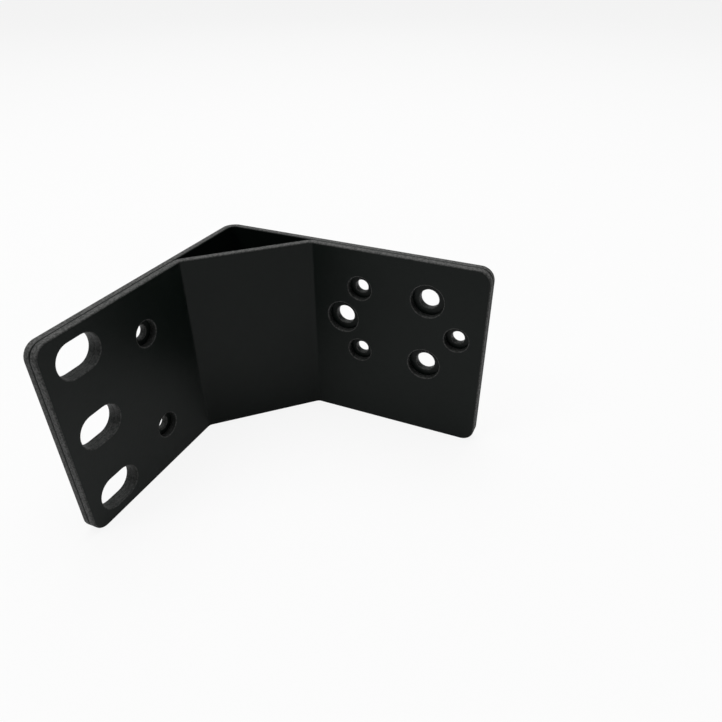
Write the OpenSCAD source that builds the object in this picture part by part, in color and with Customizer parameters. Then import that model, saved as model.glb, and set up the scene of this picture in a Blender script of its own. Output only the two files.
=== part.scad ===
// Rack mount ear bracket, for one rack unit.
// Two folded steel sheets: an L-shaped angle plate, and a brace plate that runs
// across the inside of the L and lies flat on both legs out to their free ends.
// The ear runs along +X, with its front face towards -Y. The chassis leg runs
// along +Y, with its outer face towards -X. The bracket stands on z = 0, and the
// origin is at the middle of its footprint.

/* [Bracket] */
// Width of the ear, from the chassis side to its free end
ear_w = 61.5; // [58:0.5:110]
// Length of the chassis leg, from the ear's front to its free end
leg_w = 64; // [62:0.5:140]
// Height of both legs
height = 43.5; // [42:0.1:60]
// Thickness of each folded sheet
sheet = 1.5; // [1:0.1:2]
// Inside radius of every bend
bend_r = 1.5; // [0.5:0.1:2.5]
// Radius of the plates' free corners
corner_r = 3; // [0.5:0.1:5]

/* [Brace] */
// Distance from either outer face to the brace's bend on that leg
brace_reach = 23; // [15:0.1:25]

/* [Rack slots] */
// Number of slots, one above the other
slot_count = 3; // [1:1:3]
// Distance between the slots' centres
slot_pitch = 15.875; // [12:0.005:16]
// Height of a slot
slot_h = 7.1; // [5:0.1:8]
// Length of a slot along the ear
slot_l = 10.2; // [8.5:0.1:13]
// Distance from the ear's free end to the slots' centres
slot_edge = 8.35; // [7:0.05:14]

/* [Screw holes] */
// Diameter of a large screw's hole in the angle plate
large_d = 4.4; // [3:0.1:5]
// Diameter of the brace's hole for a large screw's head
large_head_d = 7.5; // [5.5:0.1:8]
// Diameter of a small screw's hole in the angle plate
small_d = 3; // [2:0.1:4]
// Diameter of the brace's hole for a small screw's head
small_head_d = 5.6; // [4.5:0.1:6.5]

/* [Chassis hole pattern] */
// Distance between the pattern's two columns, and between the holes of a column
chassis_pitch = 15.9; // [12:0.1:17]
// Distance from the leg's free end to the column of large holes
chassis_edge = 13.3; // [10:0.05:16]
// Height of the pattern's middle above the middle of the leg
chassis_rise = 4.7; // [-4.7:0.1:4.7]
// Distance of the single large hole in front of the small column
front_step = 4.2; // [2:0.1:5]
// Distance of the single small hole behind the large column
rear_step = 7.1; // [6:0.1:7.5]

/* [Ear hole pair] */
// Distance from the ear's free end to the pair of small holes
pair_edge = 25; // [22:0.1:30]
// Distance between the two holes
pair_pitch = 23.2; // [10:0.1:28]

/* [Bend darts] */
// Number of stiffening darts pressed into the bend
dart_count = 2; // [0:1:2]
// Distance between the darts
dart_pitch = 18.5; // [12:0.1:24]
// Distance that a dart reaches along each outer face
dart_reach = 4.7; // [3.5:0.1:7]
// Angle between a dart's two flanks
dart_angle = 92; // [70:1:110]
// Radius at the bottom of a dart's groove
dart_root_r = 0.4; // [0.2:0.05:0.8]

/* [Hidden] */
$fn = 64;
// Overrun of a cut past the face that it opens
over = 1;
// Thickness of the two sheets where they lie together
stack = 2*sheet;
outer_r = bend_r + sheet;
// Depth at which an arc and a flat cross, so that they meet in one clean line
tuck = 0.002;
// The brace turns through this angle at each of its bends
brace_turn = 45;
// Centre of the brace's bend on a leg, along the leg and out from its outer face
bend_at = brace_reach + bend_r*tan(brace_turn/2);
bend_out = stack + bend_r;
middle = height/2;
slot_x = ear_w - slot_edge;
pair_x = ear_w - pair_edge;
large_y = leg_w - chassis_edge;
small_y = large_y - chassis_pitch;
// Chassis holes as [distance from the ear's front, height]
large_holes = [
    for (side = [-1, 1]) [large_y, middle + chassis_rise + side*chassis_pitch/2],
    [small_y - front_step, middle + chassis_rise]
];
small_holes = [
    for (side = [-1, 1]) [small_y, middle + chassis_rise + side*chassis_pitch/2],
    [large_y + rear_step, middle + chassis_rise]
];
steel_black = [0.055, 0.056, 0.06];

// Heights of n features spaced evenly about the middle
function spread(n, pitch) = [for (i = [0:1:n - 1]) middle + (i - (n - 1)/2)*pitch];

// Places the bracket's corner so that the origin is below its middle
module at_corner() {
    translate([-ear_w/2, -leg_w/2, 0]) children();
}

// Rectangle with its first corner rounded
module soft_square(w, d, r) {
    difference() {
        square([w, d]);
        difference() {
            square(r);
            translate([r, r]) circle(r);
        }
    }
}

// Plan of the angle plate: two legs and the bend between them
module angle_plan() {
    difference() {
        soft_square(ear_w, leg_w, outer_r);
        translate([sheet, sheet]) soft_square(ear_w, leg_w, bend_r);
    }
}

// Corner that a bend rounds off, outside a radius r about the bend's centre.
// It spans the brace's turn, from -Y towards the bracket's corner.
module bend_corner(r) {
    difference() {
        polygon([[0, 0], [0, -2*r], 2*r*[-tan(brace_turn), -1]]);
        circle(r + tuck);
    }
}

// The brace's open side, out to a distance r past its bends' centres
module open_side(r) {
    length = ear_w + leg_w;
    difference() {
        intersection() {
            translate([bend_out - r, bend_out - r]) square(length);
            translate([bend_at, bend_out]) rotate(-brace_turn) translate([-length, -r]) square(2*length);
        }
        translate([bend_at, bend_out]) bend_corner(r);
        mirror([1, -1]) translate([bend_at, bend_out]) bend_corner(r);
    }
}

// Plan of the brace: a flange along each leg and the diagonal between them.
// Its legs run on past their free ends.
module brace_plan() {
    difference() {
        open_side(outer_r);
        open_side(bend_r);
    }
}

// Side view of a leg, whose free end has rounded corners
module leg_outline(length) {
    difference() {
        translate([-over, 0]) square([length + over, height]);
        for (top = [0, 1]) translate([length, top*height]) mirror([0, top]) mirror([1, 0])
            difference() {
                translate([-over, -over]) square(corner_r + over);
                translate([corner_r, corner_r]) circle(corner_r);
            }
    }
}

// Trims a plate to the side views of the ear and of the leg
module trimmed() {
    intersection() {
        children();
        translate([0, leg_w + over, 0]) rotate([90, 0, 0])
            linear_extrude(leg_w + 2*over) leg_outline(ear_w);
        translate([-over, 0, 0]) rotate([90, 0, 90])
            linear_extrude(ear_w + 2*over) leg_outline(leg_w);
    }
}

// Hole through the ear at height z, x from the corner
module ear_bore(x, z, d) {
    translate([x, -over, z]) rotate([-90, 0, 0]) cylinder(h = stack + 2*over, d = d);
}

// Hole through the chassis leg, place = [distance from the ear's front, height]
module leg_bore(place, d) {
    translate([-over, place[0], place[1]]) rotate([0, 90, 0]) cylinder(h = stack + 2*over, d = d);
}

// The rack's slots, with round ends
module rack_slots() {
    reach = (slot_l - slot_h)/2;
    for (z = spread(slot_count, slot_pitch)) {
        ear_bore(slot_x - reach, z, slot_h);
        ear_bore(slot_x + reach, z, slot_h);
        translate([slot_x - reach, -over, z - slot_h/2]) cube([2*reach, stack + 2*over, slot_h]);
    }
}

// Every round screw hole, with one diameter for large and one for small screws
module screw_holes(large, small) {
    for (place = large_holes) leg_bore(place, large);
    for (place = small_holes) leg_bore(place, small);
    for (z = spread(2, pair_pitch)) ear_bore(pair_x, z, small);
}

// Section of a dart, as a wedge with a round tip of radius r, opening outwards.
// Its flanks start just inside the tip's circle, so that they cut it in a clean line.
module dart_section(r) {
    half = dart_angle/2;
    start = (r - tuck)*[sin(half), cos(half)];
    end = start + (2*dart_reach + outer_r)*[-cos(half), sin(half)];
    translate([dart_reach/sqrt(2) - dart_root_r, 0]) {
        circle(r);
        polygon([start, end, [end.x, -end.y], [start.x, -start.y]]);
    }
}

// The darts, each running straight from one outer face to the other at 45 degrees
module darts(r) {
    for (z = spread(dart_count, dart_pitch)) translate([0, 0, z])
        rotate([0, 0, 45]) rotate([90, 0, 0])
            linear_extrude(4*dart_reach, center = true) dart_section(r);
}

// Angle plate: the L of the ear and the chassis leg, with pressed darts.
// Each dart's groove outside is backed by a rib of the same wall inside.
module angle_plate() {
    color(steel_black) at_corner() difference() {
        trimmed() union() {
            linear_extrude(height) angle_plan();
            intersection() {
                darts(dart_root_r + sheet);
                linear_extrude(height) soft_square(brace_reach, brace_reach, outer_r);
            }
        }
        darts(dart_root_r);
        rack_slots();
        screw_holes(large_d, small_d);
    }
}

// Brace plate: the diagonal and its two flanges, with room for the screws' heads
module brace_plate() {
    color(steel_black) at_corner() difference() {
        trimmed() linear_extrude(height) brace_plan();
        rack_slots();
        screw_holes(large_head_d, small_head_d);
    }
}

angle_plate();
brace_plate();
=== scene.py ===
import math

import bmesh
import bpy
import numpy as np
from mathutils import Matrix, Vector


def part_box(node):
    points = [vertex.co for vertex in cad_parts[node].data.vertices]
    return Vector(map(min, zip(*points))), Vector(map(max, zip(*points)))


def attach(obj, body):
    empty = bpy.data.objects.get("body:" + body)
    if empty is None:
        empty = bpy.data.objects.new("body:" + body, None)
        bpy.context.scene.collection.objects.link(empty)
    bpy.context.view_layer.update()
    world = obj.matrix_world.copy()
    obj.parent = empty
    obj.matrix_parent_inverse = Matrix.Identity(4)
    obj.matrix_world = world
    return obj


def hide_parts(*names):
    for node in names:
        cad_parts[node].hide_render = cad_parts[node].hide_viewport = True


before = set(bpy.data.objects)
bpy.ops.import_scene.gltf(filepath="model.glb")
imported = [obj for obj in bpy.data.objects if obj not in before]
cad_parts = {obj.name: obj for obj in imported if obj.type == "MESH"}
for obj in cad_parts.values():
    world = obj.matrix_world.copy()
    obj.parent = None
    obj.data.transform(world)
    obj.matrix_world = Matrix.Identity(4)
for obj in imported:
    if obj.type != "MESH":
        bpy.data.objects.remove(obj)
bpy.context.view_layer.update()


# The angle plate is the outer of the two steel sheets: punched flat, folded once into an L, with two
# darts pressed into the fold to stiffen it. It is laid out here as it is punched, along s from the
# ear's free end to the leg's, with z up and w through the sheet from its outer face, and then folded.
MM = 0.001
low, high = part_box("angle_plate")
height = high.z - low.z
middle = height / 2
sheet = 1.5 * MM
bend_r = 1.5 * MM
outer_r = bend_r + sheet
corner_r = 3 * MM

slot_edge = 8.35 * MM
slot_pitch = 15.875 * MM
slot_half = 1.55 * MM
slot_r = 3.55 * MM
pair_edge = 25 * MM
pair_rise = 11.6 * MM

# The leg's screw holes, measured from its free end: two large, two small, and one more of each
pattern_pitch = 15.9 * MM
pattern_z = middle + 4.7 * MM
large_edge = 13.3 * MM
small_edge = large_edge + pattern_pitch
front_step = 4.2 * MM
rear_step = 7.1 * MM
large_holes = [(large_edge, pattern_z + side * pattern_pitch / 2) for side in (-1, 1)]
large_holes.append((small_edge + front_step, pattern_z))
small_holes = [(small_edge, pattern_z + side * pattern_pitch / 2) for side in (-1, 1)]
small_holes.append((large_edge - rear_step, pattern_z))
large_screw_r = 2.2 * MM
small_screw_r = 1.5 * MM
large_head_r = 3.75 * MM
small_head_r = 2.8 * MM

dart_pitch = 18.5 * MM
dart_heights = [middle + side * dart_pitch / 2 for side in (-1, 1)]
dart_reach = 4.7 * MM
dart_root_r = 0.4 * MM
dart_half = math.radians(46)
dart_soft = 0.25 * MM

# A cut edge's corners, each as its width, its depth in the sheet and how slowly its coat thins and its
# painted highlight comes in.
# The corners along the seam between the two sheets are tighter and keep more of their coat and less painted
# highlight.
outline_r = 0.32 * MM
outline_corner = (outline_r, outline_r, 0.3)
outline_seam = (0.24 * MM, 0.3 * MM, 2)
rim_r = 0.26 * MM
hole_corner = (rim_r, 0.12 * MM, 0.3)
hole_seam = (0.08 * MM, 0.08 * MM, 1.2)
edge_steps = 5

# How thin the coat is in a hole's wall and in a dart's groove, where 1 is a cut edge; in a hole's wall the
# lighter grey is partly a painted highlight
bore_coat_and_highlight = 0.4
dart_share = 0.8

# Cells of the grid on a plain face and near a bend or a dart, and the borders of cells kept round a
# hole, along the outline, past the bend and past a dart
cell = 0.7 * MM
fine_cell = 0.16 * MM
hole_border = 0.65 * MM
outline_border = 0.2 * MM
bend_border = 2.4 * MM
dart_border = 2.8 * MM

# Rings of cells on the face round a hole, as shares of the way from its rim to its border, the gap
# below which points are merged, and a hair's breadth that makes up for rounding
rings = np.array([[1], [0.45], [0.12]])
merge_gap = 0.001 * MM
hair = 0.0001 * MM


def hole_list(length, large_r, small_r):
    """Every hole of a plate as (s, z, half of its straight part, radius, half of its block of cells).
    The ear's holes are measured from its free end, and the leg's back from the plate's other end."""
    slot_block = slot_r + hole_border
    small_block = small_head_r + hole_border
    large_block = large_head_r + hole_border
    holes = [(slot_edge, middle + n * slot_pitch, slot_half, slot_r, slot_block) for n in (-1, 0, 1)]
    holes += [(pair_edge, middle + side * pair_rise, 0, small_r, small_block) for side in (-1, 1)]
    holes += [(length - edge, z, 0, large_r, large_block) for edge, z in large_holes]
    holes += [(length - edge, z, 0, small_r, small_block) for edge, z in small_holes]
    return holes


def ruled(marks, fine):
    """Grid lines through every mark, with marks closer than a nanometre taken as one. Two marks are
    joined by even steps of about a cell at most, or of a fine cell at most where their middle lies in
    one of the fine stretches."""
    marks = np.unique(np.round(marks, 9))
    slack = 0.01
    lines = []
    for start, end in zip(marks[:-1], marks[1:]):
        is_fine = any(first < (start + end) / 2 < last for first, last in fine)
        count = math.ceil((end - start) / (fine_cell if is_fine else cell) - slack)
        lines.append(np.linspace(start, end, count, endpoint=False))
    return np.append(np.concatenate(lines), marks[-1])


def with_round_corners(s, z, length):
    """Moves the grid into the plate's rounded outline. With a and b the distances past the nearest
    corner's centre, a point goes to the radius max(a, b), turned 45 degrees times min(a, b) /
    max(a, b) from the side that it is nearer to. The centres are returned too."""
    core_s = np.clip(s, corner_r, length - corner_r)
    core_z = np.clip(z, corner_r, height - corner_r)
    a, b = s - core_s, z - core_z
    radius = np.maximum(abs(a), abs(b))
    angle = math.pi / 4 * np.minimum(abs(a), abs(b)) / np.maximum(radius, hair)
    far, near = radius * np.cos(angle), radius * np.sin(angle)
    is_wide = abs(a) >= abs(b)
    s = core_s + np.sign(a) * np.where(is_wide, far, near)
    z = core_z + np.sign(b) * np.where(is_wide, near, far)
    return s, z, core_s, core_z


def around(i, j):
    """Indices of the grid points round a block of cells, once round and back to the first."""
    wide, tall = i[1] - i[0], j[1] - j[0]
    across = np.r_[i[0]:i[1], np.full(tall, i[1]), i[1]:i[0]:-1, np.full(tall, i[0]), i[0]]
    up = np.r_[np.full(wide, j[0]), j[0]:j[1], np.full(wide, j[1]), j[1]:j[0]:-1, j[0]]
    return across, up


def edge_profile(reach, outer, inner, wall_share=1):
    """Section of a cut and coated edge, as columns: how far it stands out from the face's border, how
    deep it lies in the sheet, and how thin its coat is, which also sets how much painted highlight it
    carries. It starts and ends flat on a face, at the border. Each corner is a quarter ellipse that
    ends at the reach, with out = reach - width (1 - sin a) and depth = corner depth (1 - cos a), and
    its share rises as a power of a. Between the two corners the wall goes straight through, with a share of
    its own."""
    turned = np.linspace(0, 1, edge_steps + 1)
    sine, rise = np.sin(math.pi / 2 * turned), 1 - np.cos(math.pi / 2 * turned)
    (outer_width, outer_depth, outer_fade), (inner_width, inner_depth, inner_fade) = outer, inner
    out = np.r_[0, reach - outer_width * (1 - sine), reach - inner_width * (1 - sine[::-1]), 0]
    depth = np.r_[0, outer_depth * rise, sheet - inner_depth * rise[::-1], sheet]
    share = np.r_[0, turned**outer_fade, turned[::-1] ** inner_fade, 0]
    share[edge_steps + 1 : edge_steps + 3] = wall_share
    return [column[:, None] for column in (out, depth, share)]


def hole_skin(s, z, hole, profile):
    """Skin of one hole, from the border of its block of cells to the rim, through the sheet and back
    out. A point lies on the spoke from the hole's core line to its place on the border, and each ring
    on the face lies at its own share of the way from the rim to the border."""
    hole_s, hole_z, half, radius, _ = hole
    out, depth, share = profile
    core = hole_s + np.clip(s - hole_s, -half, half)
    spoke_s, spoke_z = s - core, z - hole_z
    length = np.hypot(spoke_s, spoke_z)
    rim = radius + rim_r
    flat = rim + rings * (length - rim)
    along = np.vstack([flat, rim - out + 0 * length, flat[::-1]]) / length
    face = np.zeros((len(flat), 1))
    w = np.vstack([face, depth, face + sheet])
    return core + along * spoke_s, hole_z + along * spoke_z, w, np.vstack([face, share, face])


def sewn(name, patches, folded):
    """One closed mesh from patches of the flat plate. A patch is a grid of s, z, depth and share, with
    the cells that it keeps, or None for all of them. Its points are folded into place and merged with
    its neighbours', and each share is kept on its point for the coat to read."""
    points, quads, shares, total = [], [], [], 0
    for s, z, w, share, kept in patches:
        index = total + np.arange(s.size).reshape(s.shape)
        quad = np.stack([index[:-1, :-1], index[:-1, 1:], index[1:, 1:], index[1:, :-1]], axis=-1)
        quads.append(quad.reshape(-1, 4) if kept is None else quad[kept])
        placed, rubbed = folded(s, z, w + 0 * s)
        points.append(placed.reshape(-1, 3))
        shares.append(np.maximum(share, rubbed).ravel())
        total += s.size
    mesh = bpy.data.meshes.new(name)
    mesh.from_pydata(np.concatenate(points), [], np.concatenate(quads))
    shares = np.concatenate(shares)
    # The share is how thin the coat is and, on the cut edges and hole walls, how much painted highlight
    # they carry
    mesh.attributes.new("thin_coat_and_painted_highlight", "FLOAT", "POINT").data.foreach_set("value", shares)
    shell = bmesh.new()
    shell.from_mesh(mesh)
    bmesh.ops.remove_doubles(shell, verts=shell.verts, dist=merge_gap)
    unused = [vert for vert in shell.verts if not vert.link_faces]
    bmesh.ops.delete(shell, geom=unused, context="VERTS")
    shell.to_mesh(mesh)
    shell.free()
    mesh.shade_smooth()
    return mesh


def punched_plate(name, length, holes, folded, fine_s, fine_z, seam_outside):
    """A plate with rounded corners and holes. Each face is one grid of s and z, without the blocks of
    cells that the holes take, and the edge's profile is carried round the outline. The seam side, where
    the plate lies on the other one, is its outer face if seam_outside is true."""
    guard = outline_r + outline_border
    blocks = [(s - half - size, s + half + size, z - size, z + size) for s, z, half, _, size in holes]
    s_marks = [outline_r, guard, corner_r, length - corner_r, length - guard, length - outline_r]
    z_marks = [outline_r, guard, corner_r, height - corner_r, height - guard, height - outline_r]
    s_marks += [*np.ravel(fine_s), *(side for block in blocks for side in block[:2])]
    z_marks += [*np.ravel(fine_z), *(side for block in blocks for side in block[2:])]
    s_lines, z_lines = ruled(s_marks, fine_s), ruled(z_marks, fine_z)
    grid = np.meshgrid(s_lines, z_lines, indexing="ij")
    s, z, core_s, core_z = with_round_corners(*grid, length)

    corners = [outline_seam, outline_corner] if seam_outside else [outline_corner, outline_seam]
    out, depth, share = edge_profile(outline_r, *corners)
    border = around((0, len(s_lines) - 1), (0, len(z_lines) - 1))
    away_s, away_z = s[border] - core_s[border], z[border] - core_z[border]
    reach = corner_r - outline_r
    edge_s, edge_z = s[border] + out * away_s / reach, z[border] + out * away_z / reach
    patches = [(edge_s, edge_z, depth, share, None)]

    # The slots of both plates lie on each other, but the brace's round holes are the wider ones, so
    # the angle plate's show both of their corners
    corners = [hole_seam, hole_corner] if seam_outside else [hole_corner, hole_seam]
    slot_rim = edge_profile(rim_r, *corners, bore_coat_and_highlight)
    bore_rim = edge_profile(rim_r, corners[0], hole_corner, bore_coat_and_highlight)
    kept = np.ones((len(s_lines) - 1, len(z_lines) - 1), bool)
    for hole, block in zip(holes, blocks):
        i = np.searchsorted(s_lines, np.array(block[:2]) - hair)
        j = np.searchsorted(z_lines, np.array(block[2:]) - hair)
        kept[i[0]:i[1], j[0]:j[1]] = False
        border = tuple(index[::-1] for index in around(i, j))
        rim = slot_rim if hole[2] else bore_rim
        patches.append((*hole_skin(s[border], z[border], hole, rim), None))

    face = np.zeros(s.shape)
    patches.append((s, z, face, face, kept))
    patches.append((s[:, ::-1], z[:, ::-1], face + sheet, face, kept[:, ::-1]))
    plate = bpy.data.objects.new(name, sewn(name, patches, folded))
    bpy.context.scene.collection.objects.link(plate)
    return plate


def fold(s, z, w, start, runs, turn):
    """Folds the flat plate. Each straight run adds the share of s that lies on it, along its heading.
    Each bend of outer radius R adds R sin f forwards and R (1 - cos f) sideways, with f the angle
    turned so far. The depth w is then measured along the inward normal."""
    heading = math.pi
    angle = np.full(s.shape, heading)
    x, y = np.full(s.shape, start[0]), np.full(s.shape, start[1])
    turns = [turn] * (len(runs) - 1) + [0]
    for run, full_turn in zip(runs, turns):
        bent = np.clip((s - run) / outer_r, 0, full_turn)
        forwards = np.clip(s, 0, run) + outer_r * np.sin(bent)
        sideways = outer_r * (1 - np.cos(bent))
        x += forwards * math.cos(heading) + sideways * math.sin(heading)
        y += forwards * math.sin(heading) - sideways * math.cos(heading)
        angle -= bent
        heading -= full_turn
        s = s - run - outer_r * full_turn
    return np.stack([x + w * np.sin(angle), y - w * np.cos(angle), z + low.z], axis=-1)


def fold_angle(s, z, w):
    """The L, with its darts. A dart moves a point along the L's diagonal, from the place d on it to
    max(d, wedge). At a height h from the dart's middle the wedge reaches d0 + R / sin t - h / tan t,
    with t half its angle, and ends in a round bottom of radius R = root radius + w. A rounded
    maximum adds (k - |d - wedge|)^2 / 4k where the two are closer than k. The coat is thin in the
    dart's groove, so its share there is returned too."""
    points = fold(s, z, w, (high.x, low.y), angle_runs, math.pi / 2)
    radius = dart_root_r + w
    first = (points[..., 0] - low.x + points[..., 1] - low.y) / math.sqrt(2)
    moved = first
    for place in dart_heights:
        off = abs(z - place)
        bottom = np.sqrt(np.clip(radius**2 - off**2, 0, None))
        flank = radius / math.sin(dart_half) - off / math.tan(dart_half)
        wedge = np.where(off < radius * math.cos(dart_half), bottom, flank)
        wedge = wedge + dart_reach / math.sqrt(2) - dart_root_r
        blend = np.clip(dart_soft - abs(moved - wedge), 0, None) ** 2 / (4 * dart_soft)
        moved = np.maximum(moved, wedge) + blend
    points[..., :2] += ((moved - first) / math.sqrt(2))[..., None]
    rubbed = dart_share * np.clip((moved - first) / dart_soft, 0, 1) * (w < sheet / 2)
    return points, rubbed


angle_runs = [high.x - low.x - outer_r, high.y - low.y - outer_r]
angle_arc = outer_r * math.pi / 2
angle_length = sum(angle_runs) + angle_arc
angle_bend = (angle_runs[0] - bend_border, angle_runs[0] + angle_arc + bend_border)
dart_zones = [(place - dart_border, place + dart_border) for place in dart_heights]
angle_holes = hole_list(angle_length, large_screw_r, small_screw_r)
angle_sheet = punched_plate(
    "angle_sheet", angle_length, angle_holes, fold_angle, [angle_bend], dart_zones, seam_outside=False
)
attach(angle_sheet, "root")
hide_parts("angle_plate")


def powder_coat():
    """Matt black powder coat: a deep black with a fine sandy grain and faint cloudiness. It is thinner
    over the cut edges and in the darts, where it is a shade lighter and rougher. On the cut edges and
    hole walls the lighter grey is also a painted highlight."""
    material = bpy.data.materials.new("powder_coat")
    material.use_nodes = True
    nodes, links = material.node_tree.nodes, material.node_tree.links
    shader = nodes["Principled BSDF"]
    shader.inputs["Specular IOR Level"].default_value = 0.17

    place = nodes.new("ShaderNodeTexCoord")
    grain = nodes.new("ShaderNodeTexNoise")
    grain.inputs["Scale"].default_value = 2400
    grain.inputs["Detail"].default_value = 4
    grain.inputs["Roughness"].default_value = 0.55
    cloud = nodes.new("ShaderNodeTexNoise")
    cloud.inputs["Scale"].default_value = 90
    cloud.inputs["Detail"].default_value = 3
    for texture in (grain, cloud):
        links.new(place.outputs["Object"], texture.inputs["Vector"])

    # How thin the coat is, with the painted highlight on the cut edges and hole walls, broken up into
    # speckles by the grain
    edge = nodes.new("ShaderNodeAttribute")
    edge.attribute_name = "thin_coat_and_painted_highlight"
    grainy_edge = nodes.new("ShaderNodeMath")
    grainy_edge.operation = "MULTIPLY"
    links.new(edge.outputs["Fac"], grainy_edge.inputs[0])
    speckle = nodes.new("ShaderNodeMapRange")
    speckle.inputs["From Min"].default_value = 0.4
    speckle.inputs["From Max"].default_value = 0.6
    speckle.inputs["To Min"].default_value = 0.35
    links.new(grain.outputs["Fac"], speckle.inputs["Value"])
    links.new(speckle.outputs["Result"], grainy_edge.inputs[1])

    # Cloudy black on the faces, and grey where the coat is thin; on the cut edges and hole walls this grey
    # is also a painted highlight
    face = nodes.new("ShaderNodeMix")
    face.data_type = "RGBA"
    face.inputs["A"].default_value = (0.0033, 0.0056, 0.0046, 1)
    face.inputs["B"].default_value = (0.0057, 0.0087, 0.0074, 1)
    links.new(cloud.outputs["Fac"], face.inputs["Factor"])
    colour = nodes.new("ShaderNodeMix")
    colour.data_type = "RGBA"
    colour.inputs["B"].default_value = (0.1, 0.1, 0.098, 1)
    links.new(face.outputs["Result"], colour.inputs["A"])
    links.new(grainy_edge.outputs["Value"], colour.inputs["Factor"])
    links.new(colour.outputs["Result"], shader.inputs["Base Color"])

    # Duller along the edges
    dull_edge = nodes.new("ShaderNodeMapRange")
    dull_edge.inputs["To Min"].default_value = 0.33
    dull_edge.inputs["To Max"].default_value = 0.6
    links.new(edge.outputs["Fac"], dull_edge.inputs["Value"])
    links.new(dull_edge.outputs["Result"], shader.inputs["Roughness"])

    # The grain's relief, deeper along the edges
    bump = nodes.new("ShaderNodeBump")
    bump.inputs["Strength"].default_value = 0.6
    bump.inputs["Distance"].default_value = 0.03 * MM
    rough_edge = nodes.new("ShaderNodeMath")
    rough_edge.operation = "MULTIPLY_ADD"
    rough_edge.inputs[1].default_value = 3
    rough_edge.inputs[2].default_value = 1
    links.new(edge.outputs["Fac"], rough_edge.inputs[0])
    relief = nodes.new("ShaderNodeMath")
    relief.operation = "MULTIPLY"
    links.new(grain.outputs["Fac"], relief.inputs[0])
    links.new(rough_edge.outputs["Value"], relief.inputs[1])
    links.new(relief.outputs["Value"], bump.inputs["Height"])
    links.new(bump.outputs["Normal"], shader.inputs["Normal"])
    return material


coat = powder_coat()
angle_sheet.data.materials.append(coat)


# The brace plate is the inner sheet, of the same steel: its two flanges lie flat on the L out to its
# free ends, and its middle runs straight across the corner. Its round holes clear the screws' heads,
# and its slots line up with the ear's.
brace_turn = math.radians(45)
brace_reach = 23 * MM
brace_border = 1 * MM
bend_at = brace_reach + bend_r * math.tan(brace_turn / 2)
diagonal = (bend_at - 2 * sheet - bend_r) * math.sqrt(2)
brace_runs = [high.x - low.x - bend_at, diagonal, high.y - low.y - bend_at]
brace_arc = outer_r * brace_turn
brace_length = sum(brace_runs) + 2 * brace_arc


def fold_brace(s, z, w):
    """The brace: two bends of 45 degrees, with the angle plate's thickness between it and the L."""
    return fold(s, z, w, (high.x, low.y + sheet), brace_runs, brace_turn), 0 * s


first_bend = (brace_runs[0] - brace_border, brace_runs[0] + brace_arc + brace_border)
brace_bends = [first_bend, tuple(side + diagonal + brace_arc for side in first_bend)]
brace_holes = hole_list(brace_length, large_head_r, small_head_r)
brace_sheet = punched_plate(
    "brace_sheet", brace_length, brace_holes, fold_brace, brace_bends, [], seam_outside=True
)
brace_sheet.data.materials.append(coat)
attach(brace_sheet, "root")
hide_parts("brace_plate")


# The studio: a plain white floor, a large soft light overhead, a smaller one over the bracket's open
# side, a weak one behind its outer faces, and a dim room. The floor shows white and keeps the
# bracket's shadow.
scene = bpy.context.scene
scene.view_settings.view_transform = "Standard"


def soft_light(name, place, target, size, power):
    """A square area light that faces its target, with its size in metres and its power in watts."""
    lamp = bpy.data.lights.new(name, "AREA")
    lamp.size = size
    lamp.energy = power
    light = bpy.data.objects.new(name, lamp)
    light.matrix_world = Matrix.Translation(place) @ (
        (Vector(target) - Vector(place)).to_track_quat("-Z", "Y").to_matrix().to_4x4()
    )
    scene.collection.objects.link(light)


soft_light("overhead_light", (-0.15, -0.08, 0.7), (0, 0, 0), size=0.7, power=4.9)
soft_light("side_light", (0.4, -0.33, 0.62), (0, 0, 0.02), size=0.3, power=1.1)
soft_light("back_light", (-0.75, -0.36, 0.5), (0, 0, 0.03), size=0.5, power=0.55)

floor_mesh = bpy.data.meshes.new("floor")
floor_half = 20
floor_corners = [(x * floor_half, y * floor_half, 0) for x, y in ((-1, -1), (1, -1), (1, 1), (-1, 1))]
floor_mesh.from_pydata(floor_corners, [], [(0, 1, 2, 3)])
floor = bpy.data.objects.new("floor", floor_mesh)
scene.collection.objects.link(floor)


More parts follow.
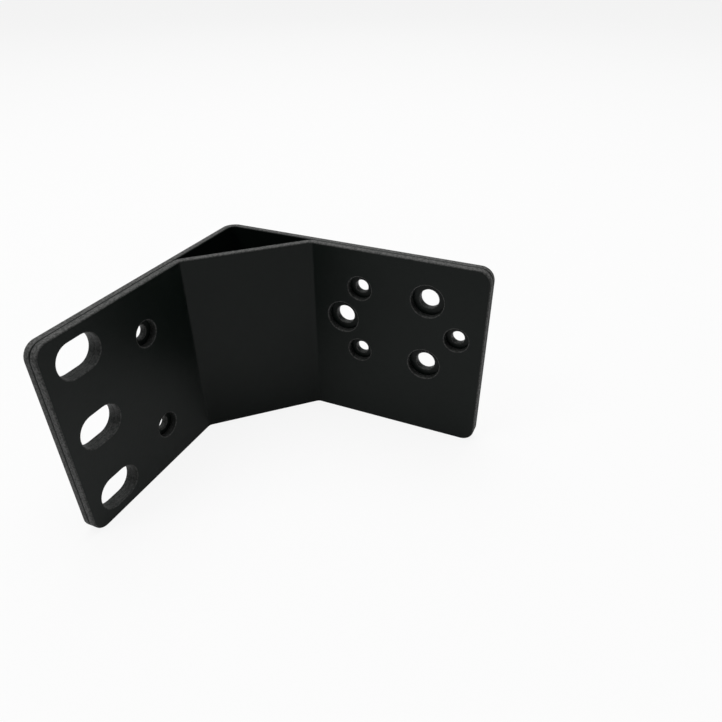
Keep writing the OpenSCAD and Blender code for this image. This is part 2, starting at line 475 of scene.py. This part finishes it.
def shown_white(tree, shader, to_camera, to_gloss):
    """Mixes plain white into a shader: one share of it where the camera looks straight at it, and
    another where it is seen in a gloss or through something clear."""
    path = tree.nodes.new("ShaderNodeLightPath")
    shares = {"Is Camera Ray": to_camera, "Is Glossy Ray": to_gloss, "Is Transmission Ray": to_gloss}
    share = None
    for ray, amount in shares.items():
        part = tree.nodes.new("ShaderNodeMath")
        part.operation = "MULTIPLY_ADD"
        part.inputs[1].default_value = amount
        part.inputs[2].default_value = 0
        tree.links.new(path.outputs[ray], part.inputs[0])
        if share:
            tree.links.new(share, part.inputs[2])
        share = part.outputs["Value"]
    white = tree.nodes.new("ShaderNodeEmission")
    white.inputs["Color"].default_value = (1, 1, 1, 1)
    white.inputs["Strength"].default_value = 1
    mixed = tree.nodes.new("ShaderNodeMixShader")
    tree.links.new(share, mixed.inputs["Fac"])
    tree.links.new(shader.outputs[0], mixed.inputs[1])
    tree.links.new(white.outputs["Emission"], mixed.inputs[2])
    return mixed.outputs["Shader"]


floor_white = bpy.data.materials.new("floor_white")
floor_white.use_nodes = True
tree = floor_white.node_tree
paper = tree.nodes.new("ShaderNodeBsdfDiffuse")
paper.inputs["Color"].default_value = (0.8, 0.8, 0.8, 1)
tree.nodes.remove(tree.nodes["Principled BSDF"])
shown = shown_white(tree, paper, 0.88, 0.1)
tree.links.new(shown, tree.nodes["Material Output"].inputs["Surface"])
floor.data.materials.append(floor_white)

room = bpy.data.worlds.new("room")
scene.world = room
room.use_nodes = True
tree = room.node_tree
dim = tree.nodes["Background"]
dim.inputs["Color"].default_value = (1, 1, 1, 1)
dim.inputs["Strength"].default_value = 0.135
shown = shown_white(tree, dim, 1, 0.07)
tree.links.new(shown, tree.nodes["World Output"].inputs["Surface"])


# The camera looks down into the bracket's open side, past its leg to the ear.
camera_place = Vector((87.642, 55.045, 96.451)) * MM
forward = Vector((-0.74382, -0.33169, -0.58027)).normalized()
right = forward.cross(Vector((-0.53185, -0.23209, 0.81442))).normalized()
up = right.cross(forward)
lens = bpy.data.cameras.new("camera")
lens.lens = 31.154
lens.shift_x = -0.00293
lens.shift_y = 0.04283
lens.clip_start = 1 * MM
camera = bpy.data.objects.new("camera", lens)
camera.matrix_world = Matrix.Translation(camera_place) @ Matrix((right, up, -forward)).transposed().to_4x4()
scene.collection.objects.link(camera)
scene.camera = camera
